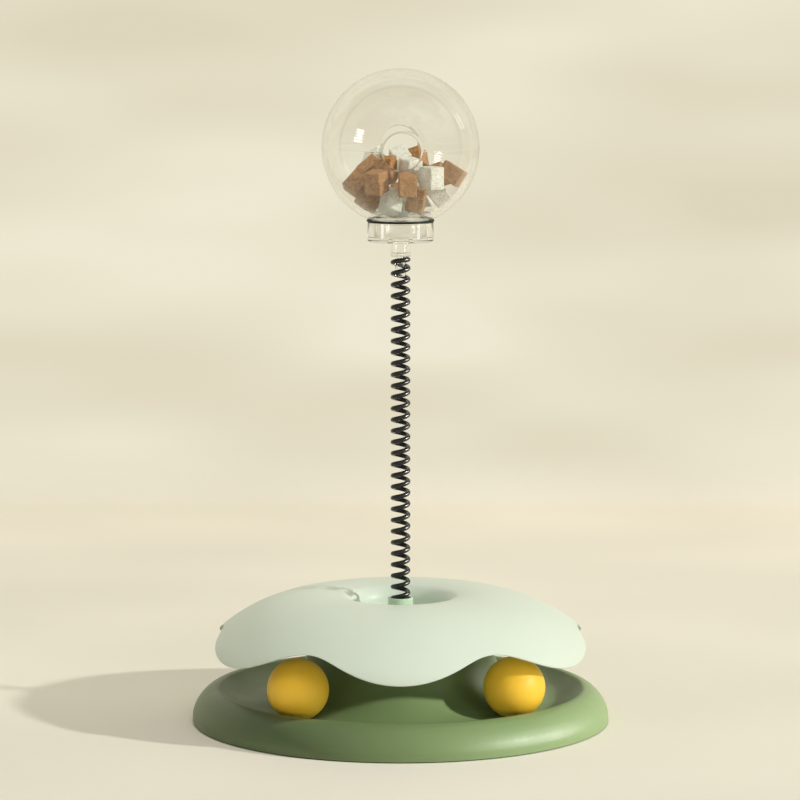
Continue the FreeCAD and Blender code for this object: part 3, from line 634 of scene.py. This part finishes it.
def ballMesh(name, centre, axis):
    half = math.degrees(ball["lineWidth"] / ball["radius"])
    angles = [180.0 * index / ball["rings"] for index in range(ball["rings"] + 1)]
    # near the line, its own points take the place of the even ones
    angles = [angle for angle in angles if abs(angle - 90.0) > half * 1.5]
    angles = sorted(angles + [90.0 + offset for offset in lineProfile(half)])
    outline = []
    for angle in angles:
        dip = ball["lineDepth"] * max(0.0, 1.0 - abs(angle - 90.0) / half)
        radius = ball["radius"] - dip
        turn = math.radians(angle)
        outline.append((radius * math.sin(turn), -radius * math.cos(turn)))
    outline[0], outline[-1] = (0.0, outline[0][1]), (0.0, outline[-1][1])
    mesh = newMesh(name, *lathe(outline, evenAngles(ball["sides"])))
    turnTo = Vector((0, 0, 1)).rotation_difference(Vector(axis)).to_matrix().to_4x4()
    mesh.transform(Matrix.Translation(centre) @ turnTo)
    mergePoints(mesh, turnOut=True)
    mesh.materials.append(ballPlastic)
    mesh.shade_smooth()
    return mesh


ballPieces = []
for side, axis in ball["axes"].items():
    name, node = "ball" + side.title(), "ball_" + side
    low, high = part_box(node)
    piece = newObject(name, ballMesh(name, (low + high) / 2.0, axis))
    seat(piece, node, "ball_plastic", node)
    ballPieces.append(piece)
print("balls done")


# Coil spring, in two lengths, split halfway between the socket's top and the stem's foot

spring = {
    "wireRadius": 1.4, "coilRadius": 6.0, "pitch": 6.74, "foot": 58.0, "top": 278.2, "endAngle": 40.0,
    "closeTurns": 0.45, "closeDrop": 1.9, "socketBore": 6.15, "runningFit": 0.08, "tail": 2.8,
    "socketTop": 74.2, "stemFoot": 267.7, "sides": 20, "stepsPerTurn": 40, "sharpAngle": 50.0,
}


def springPath():
    s = spring
    coil = s["coilRadius"] - s["wireRadius"]
    footTip = math.sqrt((s["socketBore"] - s["wireRadius"]) ** 2 - s["tail"] ** 2) - s["runningFit"]
    tailDrop = s["tail"] * s["pitch"] / math.hypot(s["pitch"], math.tau * footTip)
    bottom = s["foot"] + s["wireRadius"] + tailDrop + s["runningFit"]
    turns = (s["top"] + s["closeDrop"] - bottom) / s["pitch"]

    def ease(share):
        share = min(max(share, 0.0), 1.0)
        return share * share * (3.0 - 2.0 * share)

    def centre(turn):
        radius = coil - (coil - footTip) * ease(1.0 - turn)
        height = bottom + s["pitch"] * turn - s["closeDrop"] * ease((turn - turns) / s["closeTurns"] + 1.0)
        angle = math.radians(s["endAngle"] - 360.0 * (turns - turn))
        return Vector((radius * math.cos(angle), radius * math.sin(angle), height))

    count = int(turns * s["stepsPerTurn"])
    points = [centre(turns * index / count) for index in range(count + 1)]
    first = (points[0] - points[1]).normalized()
    return [points[0] + first * s["tail"]] + points


def springTree(values):
    tree, given = newTree("wireAlongPath", values)
    path = addNode(tree, "GeometryNodeMeshToCurve", {"Mesh": given["Geometry"]}).outputs[0]
    ring = addNode(tree, "GeometryNodeCurvePrimitiveCircle", {
        "Resolution": given["Sides"], "Radius": given["Wire Radius"]})
    swept = addNode(tree, "GeometryNodeCurveToMesh", {
        "Curve": path, "Profile Curve": ring.outputs[0], "Fill Caps": True})
    finishTree(tree, swept.outputs[0], given["Material"])
    return tree


springValues = {"Wire Radius": spring["wireRadius"] * mm, "Sides": spring["sides"], "Material": springWire}
wireTree = springTree(springValues)
path = springPath()
middle = (spring["socketTop"] + spring["stemFoot"]) / 2.0
split = min(range(len(path)), key=lambda index: abs(path[index].z - middle))
halves = (("springLower", path[:split + 1], "base", "spring", spring["socketTop"], middle),
          ("springUpper", path[split:], "spring", "head", middle, spring["stemFoot"]))
wirePieces = []
for name, points, low, high, start, end in halves:
    line = newMesh(name + "Path", [point * mm for point in points], [],
                   [(index, index + 1) for index in range(len(points) - 1)])
    piece = runTree(name, line, wireTree, springValues)
    mergePoints(piece.data, turnOut=True)
    smoothMesh(piece.data, spring["sharpAngle"])
    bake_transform(piece)
    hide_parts("spring")
    wirePieces.append(piece)
print("spring done,", len(path), "points")


# Clear holder and the dark ring on it, whose near-black colour is painted shade for the gap under the globe

holderShape = {
    "sides": 144, "roundSteps": 5, "sharpAngle": 40.0, "ringAngle": 60.0,
    # radius, height and rounding of each corner, from the foot of the stem up the outside and down the bore
    "corners": [(1.9, 267.68, 0.2), (3.12, 267.68, 0.5), (3.12, 279.68, 0.1), (5.9, 279.68, 0.25),
                (5.9, 288.68, 0.5), (19.6, 288.68, 0.5), (19.6, 300.18, 0.4), (15.9, 300.18, 0.4),
                (15.9, 291.18, 0.4), (4.9, 291.18, 0.3), (4.9, 281.68, 0.3), (1.9, 281.68, 0.2)],
}


def roundedOutline(corners, steps):
    # arcs in place of the corners of a closed outline
    points = []
    for index, (x, y, small) in enumerate(corners):
        here = Vector((x, y))
        before = (Vector(corners[index - 1][:2]) - here).normalized()
        after = (Vector(corners[(index + 1) % len(corners)][:2]) - here).normalized()
        half = before.angle(after) / 2.0
        centre = here + (before + after).normalized() * (small / math.sin(half))
        back = small / math.tan(half)
        start, end = here + before * back - centre, here + after * back - centre
        for step in range(steps + 1):
            point = centre + start.lerp(end, step / steps).normalized() * small
            points.append((point.x, point.y))
    return points


outline = roundedOutline(holderShape["corners"], holderShape["roundSteps"])
holder = newObject("clearHolder", newMesh("clearHolder", *lathe(outline, evenAngles(holderShape["sides"]))))
mergePoints(holder.data, turnOut=True)
holder.data.materials.append(clearHolderPlastic)
smoothMesh(holder.data, holderShape["sharpAngle"])
seat(holder, "head", "holder_plastic", "clear_holder")
# the ring's shape comes from the CAD part, and its dark colour is painted shade for the gap
cadCopy("seat_ring", "darkGapRing", ringGapShade, "head", "ring_rubber", holderShape["ringAngle"])
print("holder and seal ring done")


# Globe: one clear shell with two round holes, a fine line where its halves meet, and a neck under it

globe = {
    "height": 344.15, "radius": 46.8, "wall": 3.6, "holeRadius": 11.0, "holeTurn": 1.1, "holeRound": 0.7,
    "seamDepth": 0.02, "seamWidth": 0.5, "neckRadius": 15.6, "neckWall": 2.2, "neckFoot": 292.0,
    "neckRound": 0.3, "neckGap": 0.03, "steps": 180, "arcSteps": 96, "rimSteps": 7, "neckSides": 128,
    "neckSteps": 8, "neckArc": 4, "skin": 0.05, "sharpAngle": 40.0,
}


def shellOutline():
    # closed outline in the plane of the holes' axis: distance from the axis, and place along it
    g = globe
    outer, inner, hole, small = g["radius"], g["radius"] - g["wall"], g["holeRadius"], g["holeRound"]
    # centres of the roundings at the outer and the inner edge of a hole
    outerTurn = math.asin((hole + small) / (outer - small))
    innerTurn = math.asin((hole + small) / (inner + small))
    outline = []
    count = g["arcSteps"]
    for index in range(count + 1):
        turn = outerTurn + (math.pi - 2.0 * outerTurn) * index / count
        outline.append((outer * math.sin(turn), -outer * math.cos(turn)))
    corner = (hole + small, (outer - small) * math.cos(outerTurn))
    outline += arcPoints(corner, small, 90.0 - math.degrees(outerTurn), 180.0, g["rimSteps"])[1:]
    corner = (hole + small, (inner + small) * math.cos(innerTurn))
    outline += arcPoints(corner, small, 180.0, 270.0 - math.degrees(innerTurn), g["rimSteps"])
    for index in range(1, count):
        turn = math.pi - innerTurn - (math.pi - 2.0 * innerTurn) * index / count
        outline.append((inner * math.sin(turn), -inner * math.cos(turn)))
    # the other hole's rim mirrors this one's
    rim = outline[count + 1:count + 2 + 2 * g["rimSteps"]]
    outline += [(radius, -place) for radius, place in reversed(rim)]
    return outline


def globeMesh():
    g = globe
    groove = g["seamWidth"] / g["radius"] / 2.0
    plain = [turn for turn in evenAngles(g["steps"]) if abs(math.sin(turn)) > groove * 2.0]
    seams = [middle + offset for middle in (0.0, math.pi) for offset in lineProfile(groove)]
    angles = sorted([turn % math.tau for turn in plain + seams])
    verts, faces = lathe(shellOutline(), angles)
    outerLimit = (g["radius"] - g["skin"]) * mm
    cut = []
    for x, y, z in verts:    # a shallow groove where the two halves meet, on the outside only
        turn = math.atan2(abs(y), abs(x))
        onOutside = math.sqrt(x * x + y * y + z * z) > outerLimit
        dip = g["seamDepth"] * mm * max(0.0, 1.0 - turn / groove) if onOutside else 0.0
        size = 1.0 - dip / (g["radius"] * mm)
        cut.append((x * size, y * size, z * size))
    mesh = newMesh("globe", cut, faces)
    # the outline's axis goes to Y, a little turned, and X stays level
    lay = Matrix.Rotation(math.radians(-90.0), 4, "X")
    turn = Matrix.Rotation(math.radians(g["holeTurn"]), 4, "Z")
    mesh.transform(Matrix.Translation((0, 0, g["height"] * mm)) @ turn @ lay)
    return mesh


def neckMesh():
    g = globe
    outer, inner, small, foot = g["neckRadius"], g["neckRadius"] - g["neckWall"], g["neckRound"], g["neckFoot"]
    limit = g["radius"] + g["neckGap"]
    outline = [(inner + small, foot), (outer - small, foot)]
    outline += arcPoints((outer - small, foot + small), small, -90.0, 0.0, g["neckArc"])[1:]
    for index in range(g["neckSteps"] + 1):
        radius = outer - (outer - inner) * index / g["neckSteps"]
        outline.append((radius, g["height"] - math.sqrt(limit ** 2 - radius ** 2)))
    outline += arcPoints((inner + small, foot + small), small, 180.0, 270.0, g["neckArc"])[:-1]
    return newMesh("globeNeck", *lathe(outline, evenAngles(g["neckSides"])))


whole = bmesh.new()
for mesh in (globeMesh(), neckMesh()):
    whole.from_mesh(mesh)
bmesh.ops.recalc_face_normals(whole, faces=whole.faces)
shell = bpy.data.meshes.new("globe")
whole.to_mesh(shell)
whole.free()
shell.materials.append(clearShell)
shell.materials.append(paintedRimShade)
for face in shell.polygons:    # the rounded rims of the two holes get the darker glass, a painted shade line along each rim
    x, y, z = face.center / mm
    across = math.hypot(x, z - globe["height"])
    isOuterEdge = math.hypot(y, across) > globe["radius"] - globe["holeRound"]
    if across < globe["holeRadius"] + globe["holeRound"] and (y > 0.0 or isOuterEdge):
        face.material_index = 1
smoothMesh(shell, globe["sharpAngle"])
globePiece = newObject("globe", shell)
seat(globePiece, "globe", "globe_plastic", "globe_lower", "globe_upper")
print("globe done,", len(shell.polygons), "faces")


# Treats: each block is grown from a fine grid, rounded, pitted and laid where the CAD block is

treat = {
    "rounding": 0.9, "grid": 30, "swell": 0.3, "swellSize": 5.0, "swellDetail": 3.0, "pit": 0.35,
    "pitSize": 1.5, "pitReach": 0.55, "seedStep": 3.7,
    # count, material and first seed of each kind
    "kinds": {"brown": (12, brownTreat, 0.0), "white": (11, whiteTreat, 50.0)},
}


def treatTree(values):
    tree, given = newTree("driedBlock", values)
    grid = {"Vertices " + axis: given["Grid"] for axis in "XYZ"}
    block = addNode(tree, "GeometryNodeMeshCube", {"Size": given["Size"], **grid}).outputs[0]
    place = tree.nodes.new("GeometryNodeInputPosition").outputs[0]
    # pull the edges onto a rounding
    small = addNode(tree, "ShaderNodeCombineXYZ", {axis: given["Rounding"] for axis in "XYZ"}).outputs[0]
    coreHigh = vectorCalc(tree, "SUBTRACT", scaled(tree, given["Size"], 0.5), small)
    coreLow = scaled(tree, coreHigh, -1.0)
    capped = vectorCalc(tree, "MINIMUM", vectorCalc(tree, "MAXIMUM", place, coreLow), coreHigh)
    outward = vectorCalc(tree, "NORMALIZE", vectorCalc(tree, "SUBTRACT", place, capped))
    rounded = vectorCalc(tree, "ADD", capped, scaled(tree, outward, given["Rounding"]))
    # a slow swell and small pits, both inwards only
    noise = addNode(tree, "ShaderNodeTexNoise", {
        "Vector": place, "W": given["Seed"], "Scale": calc(tree, "DIVIDE", 1.0, given["Swell Size"]),
        "Detail": treat["swellDetail"]}, noise_dimensions="4D").outputs["Fac"]
    pits = addNode(tree, "ShaderNodeTexVoronoi", {
        "Vector": place, "W": given["Seed"], "Scale": calc(tree, "DIVIDE", 1.0, given["Pit Size"])},
        voronoi_dimensions="4D").outputs["Distance"]
    sunk = times(tree, noise, given["Swell"])
    hollow = calc(tree, "MAXIMUM", minus(tree, given["Pit Reach"], pits), 0.0)
    hollow = times(tree, hollow, given["Pit"])
    inward = times(tree, calc(tree, "ADD", sunk, hollow), -1.0)
    spot = vectorCalc(tree, "ADD", rounded, scaled(tree, outward, inward))
    shaped = addNode(tree, "GeometryNodeSetPosition", {"Geometry": block, "Position": spot})
    finishTree(tree, shaped.outputs[0], given["Material"])
    return tree


def vectorCalc(tree, operation, *values):
    inputs = dict(enumerate(values))
    return addNode(tree, "ShaderNodeVectorMath", inputs, operation=operation).outputs["Vector"]


def scaled(tree, vector, factor):
    inputs = {0: vector, "Scale": factor}
    return addNode(tree, "ShaderNodeVectorMath", inputs, operation="SCALE").outputs["Vector"]


def blockPlace(node):
    # centre, turn and size of a CAD block, from its largest faces
    mesh = cadNodes[node].data
    squareEnough = 0.05    # cosine of the angle between two faces' normals
    areas = {}
    for face in mesh.polygons:
        key = tuple(round(abs(value), 2) for value in face.normal)
        total, normal = areas.get(key, (0.0, face.normal.copy()))
        areas[key] = (total + face.area, normal)
    axes = []
    for total, normal in sorted(areas.values(), key=lambda entry: -entry[0]):
        if all(abs(normal.dot(other)) < squareEnough for other in axes):
            axes.append(normal.normalized())
        if len(axes) == 3:
            break
    if axes[0].cross(axes[1]).dot(axes[2]) < 0.0:
        axes[2] = -axes[2]
    centre, size = Vector(), Vector()
    for index, axis in enumerate(axes):
        reach = [axis.dot(vertex.co) for vertex in mesh.vertices]
        centre += axis * (min(reach) + max(reach)) / 2.0
        size[index] = max(reach) - min(reach)
    turn = Matrix(axes).transposed().to_4x4()
    return Matrix.Translation(centre) @ turn, size


treatValues = {
    "Size": Vector(), "Rounding": treat["rounding"] * mm, "Grid": treat["grid"], "Swell": treat["swell"] * mm,
    "Swell Size": treat["swellSize"] * mm, "Pit": treat["pit"] * mm, "Pit Size": treat["pitSize"] * mm,
    "Pit Reach": treat["pitReach"], "Seed": 0.0, "Material": None,
}
blockTree = treatTree(treatValues)
for kind, (count, material, firstSeed) in treat["kinds"].items():
    for number in range(1, count + 1):
        node, name = "%s_treat_%d" % (kind, number), "%sTreat%d" % (kind, number)
        place, size = blockPlace(node)
        seed = treat["seedStep"] * number + firstSeed
        piece = runTree(name, bpy.data.meshes.new(name + "Start"), blockTree, {
            **treatValues, "Size": size, "Seed": seed, "Material": material})
        piece.data.transform(place)
        mergePoints(piece.data, turnOut=True)
        piece.data.shade_smooth()
        seat(piece, "globe", kind + "_treat", node)
print("treats done")


# Floor, backdrop, lamps and camera

# the wall's two colours and the two band tones paint soft bands of light and shade on the paper
stage = {
    "floor": rgb(250, 244, 228), "wallShadedBand": rgb(222, 214, 188), "wallLitBand": rgb(238, 232, 210),
    "front": -3.0, "wall": 0.9, "bend": 0.06, "top": 1.5, "halfWidth": 2.6, "bendSteps": 24,
    "bandStretch": (0.7, 0.8, 2.4), "bandSize": 0.22, "bandDetail": 1.0, "paintedLightTones": (0.93, 1.02),
    "roughness": 0.85, "gloss": 0.0, "wallStart": 0.7,
}


def backdropMesh():
    s = stage
    start = s["wall"] - s["bend"]
    profile = [(s["front"], 0.0), (start, 0.0)]
    for index in range(1, s["bendSteps"] + 1):
        turn = math.radians(90.0 * index / s["bendSteps"])
        profile.append((start + s["bend"] * math.sin(turn), s["bend"] * (1.0 - math.cos(turn))))
    profile.append((s["wall"], s["top"]))
    verts = []
    for y, z in profile:
        verts += [(-s["halfWidth"], y, z), (s["halfWidth"], y, z)]
    faces = [(2 * i, 2 * i + 1, 2 * i + 3, 2 * i + 2) for i in range(len(profile) - 1)]
    mesh = newMesh("backdrop", verts, faces)
    mesh.shade_smooth()
    return mesh


paper, tree, shader, place = startMaterial("paperBackdrop")
# broad soft bands of light and shade are painted across the paper
bandPlace = vectorCalc(tree, "MULTIPLY", place, stage["bandStretch"])
bands = spread(tree, noiseAt(tree, bandPlace, stage["bandSize"], stage["bandDetail"]))
tones = [shaded(stage["floor"], tone) for tone in stage["paintedLightTones"]]
setInputs(tree, shader, {
    "Base Color": mixColours(tree, bands, *tones), "Roughness": stage["roughness"],
    "Specular IOR Level": stage["gloss"]})
# for the camera and in mirrors the wall glows with its pale colour and the painted bands of light, while the
# floor takes light and shadow
height = addNode(tree, "ShaderNodeSeparateXYZ", {"Vector": place}).outputs["Z"]
wallTone = mixColours(tree, bands, stage["wallShadedBand"], stage["wallLitBand"])
wallGlow = addNode(tree, "ShaderNodeEmission", {"Color": wallTone}).outputs[0]
direct, mirrored = raysIn(tree)
onWall = spread(tree, height, 0.0, 1.0, 0.0, stage["bend"] * stage["wallStart"])
glowing = times(tree, calc(tree, "MAXIMUM", direct, mirrored), onWall)
front = addNode(tree, "ShaderNodeMixShader", {0: glowing, 1: shader.outputs[0], 2: wallGlow}).outputs[0]
# from behind, the paper doesn't hide the toy
fromBehind = addNode(tree, "ShaderNodeNewGeometry").outputs["Backfacing"]
hidden = times(tree, direct, fromBehind)
nothing = addNode(tree, "ShaderNodeBsdfTransparent").outputs[0]
paperFace = addNode(tree, "ShaderNodeMixShader", {0: hidden, 1: front, 2: nothing})
tree.links.new(paperFace.outputs[0], tree.nodes["Material Output"].inputs["Surface"])
backdrop = newObject("backdrop", backdropMesh())
backdrop.data.materials.append(paper)


def addLamp(name, direction, distance, size, level, colour, aim, mirrored, reach, pieces):
    # level is how bright a white surface gets that faces the lamp
    data = bpy.data.lights.new(name, "AREA")
    data.shape = "RECTANGLE"
    data.size, data.size_y = size
    data.energy = level * (math.pi * distance) ** 2
    data.color = colour
    lamp = newObject(name, data)
    target = Vector((0.0, 0.0, aim))
    lamp.location = target + Vector(direction).normalized() * distance
    lamp.rotation_euler = (target - lamp.location).to_track_quat("-Z", "Y").to_euler()
    lamp.visible_glossy = lamp.visible_transmission = mirrored
    # it reaches only its pieces, or all but those
    group = bpy.data.collections.new(name + "Pieces")
    for piece in pieces:
        group.objects.link(piece)
    for entry in group.collection_objects:
        entry.light_linking.link_state = reach
    lamp.light_linking.receiver_collection = group


# name, direction, distance, width and height, level, colour, height aimed at over the toy's middle,
# whether mirrors and clear plastic show it, and the pieces that it reaches or leaves out
daylight, white = (1.0, 1.0, 0.96), (1.0, 1.0, 1.0)
clearPieces = [globePiece, holder]
lamps = [
    ("keyLamp", (0.858, -0.324, 0.399), 8.0, (0.28, 0.28), 0.62, (1.0, 1.0, 0.97), 0.05, True,
     "EXCLUDE", clearPieces),
    ("topLamp", (0.0, -0.3, 1.0), 2.2, (2.2, 2.2), 0.54, daylight, 0.2, False,
     "EXCLUDE", clearPieces + [tray]),
    ("sideLamp", (0.8, -0.6, 0.14), 2.2, (1.2, 0.6), 0.15, daylight, 0.2, True,
     "EXCLUDE", clearPieces + [coverPiece, backdrop]),
    ("coverLamp", (0.0, -0.85, 0.5), 2.2, (1.0, 1.0), 0.13, (1.0, 1.0, 0.98), 0.2, False,
     "INCLUDE", [coverPiece]),
    ("trayLamp", (0.86, -0.33, 0.385), 8.0, (0.28, 0.28), 0.85, (1.0, 0.97, 0.95), 0.05, False,
     "INCLUDE", [tray]),
    ("trayEndLamp", (0.97, 0.1, 0.22), 4.0, (1.6, 1.2), 0.6, (1.0, 0.96, 0.92), 0.2, True,
     "INCLUDE", [tray]),
    ("trayBackLamp", (-0.35, 1.0, 0.45), 0.75, (0.7, 0.5), 0.3, daylight, 0.2, False, "INCLUDE", [tray]),
    ("ballLamp", (0.1, -1.0, 0.05), 2.2, (0.8, 0.3), 0.17, daylight, 0.03, False, "INCLUDE", ballPieces),
]
window = {"panes": 5, "lowest": 0.46, "step": 0.13}    # with bars, low on the left
for row in range(window["panes"]):
    aim = window["lowest"] + window["step"] * row
    lamps.append(("windowLamp%d" % (row + 1), (-0.905, -0.401, 0.1), 2.0, (0.4, 0.07), 0.03, white, aim, True,
                  "INCLUDE", [globePiece]))
lamps += [
    ("wireLamp", (0.98, -0.14, 0.32), 2.0, (1.4, 0.6), 2.0, white, 0.2, True, "INCLUDE", wirePieces),
    ("glintLamp", (0.857, 0.365, 0.355), 2.0, (0.12, 0.5), 0.01, white, 0.344, True, "INCLUDE", [globePiece]),
    # the collar shows these two as bright bands
    ("bandLampLeft", (-0.914, -0.407, 0.0), 2.0, (0.4, 0.6), 0.12, white, 0.25, True, "INCLUDE", [holder]),
    ("bandLampRight", (0.914, -0.407, 0.0), 2.0, (0.4, 0.6), 0.12, white, 0.25, True, "INCLUDE", [holder]),
]
for lamp in lamps:
    addLamp(*lamp)

sky = {"colour": (1.0, 0.99, 0.89, 1.0), "level": 0.12, "mirroredLevel": 0.5, "extraForCamera": 0.64}
world = bpy.data.worlds.new("studio")
world.use_nodes = True
skyTree = world.node_tree
direct, mirrored = raysIn(skyTree)
skyLevel = calc(skyTree, "ADD", spread(skyTree, mirrored, sky["level"], sky["mirroredLevel"], 0.0, 1.0),
                times(skyTree, direct, sky["extraForCamera"]))
setInputs(skyTree, skyTree.nodes["Background"], {"Color": sky["colour"], "Strength": skyLevel})
scene.world = world

view = {
    "distance": 2.297, "height": 0.4833, "pitch": 7.19, "lens": 174.6, "side": -0.0003, "sensor": 36.0,
    "farthest": 20.0,
}
cameraData = bpy.data.cameras.new("camera")
cameraData.lens = view["lens"]
cameraData.sensor_width = view["sensor"]
cameraData.clip_end = view["farthest"]
camera = newObject("camera", cameraData)
camera.location = (view["side"], -view["distance"], view["height"])
camera.rotation_euler = (math.radians(90.0 - view["pitch"]), 0.0, 0.0)
scene.camera = camera
scene.view_settings.view_transform = "Standard"
print("stage, lamps and camera set")
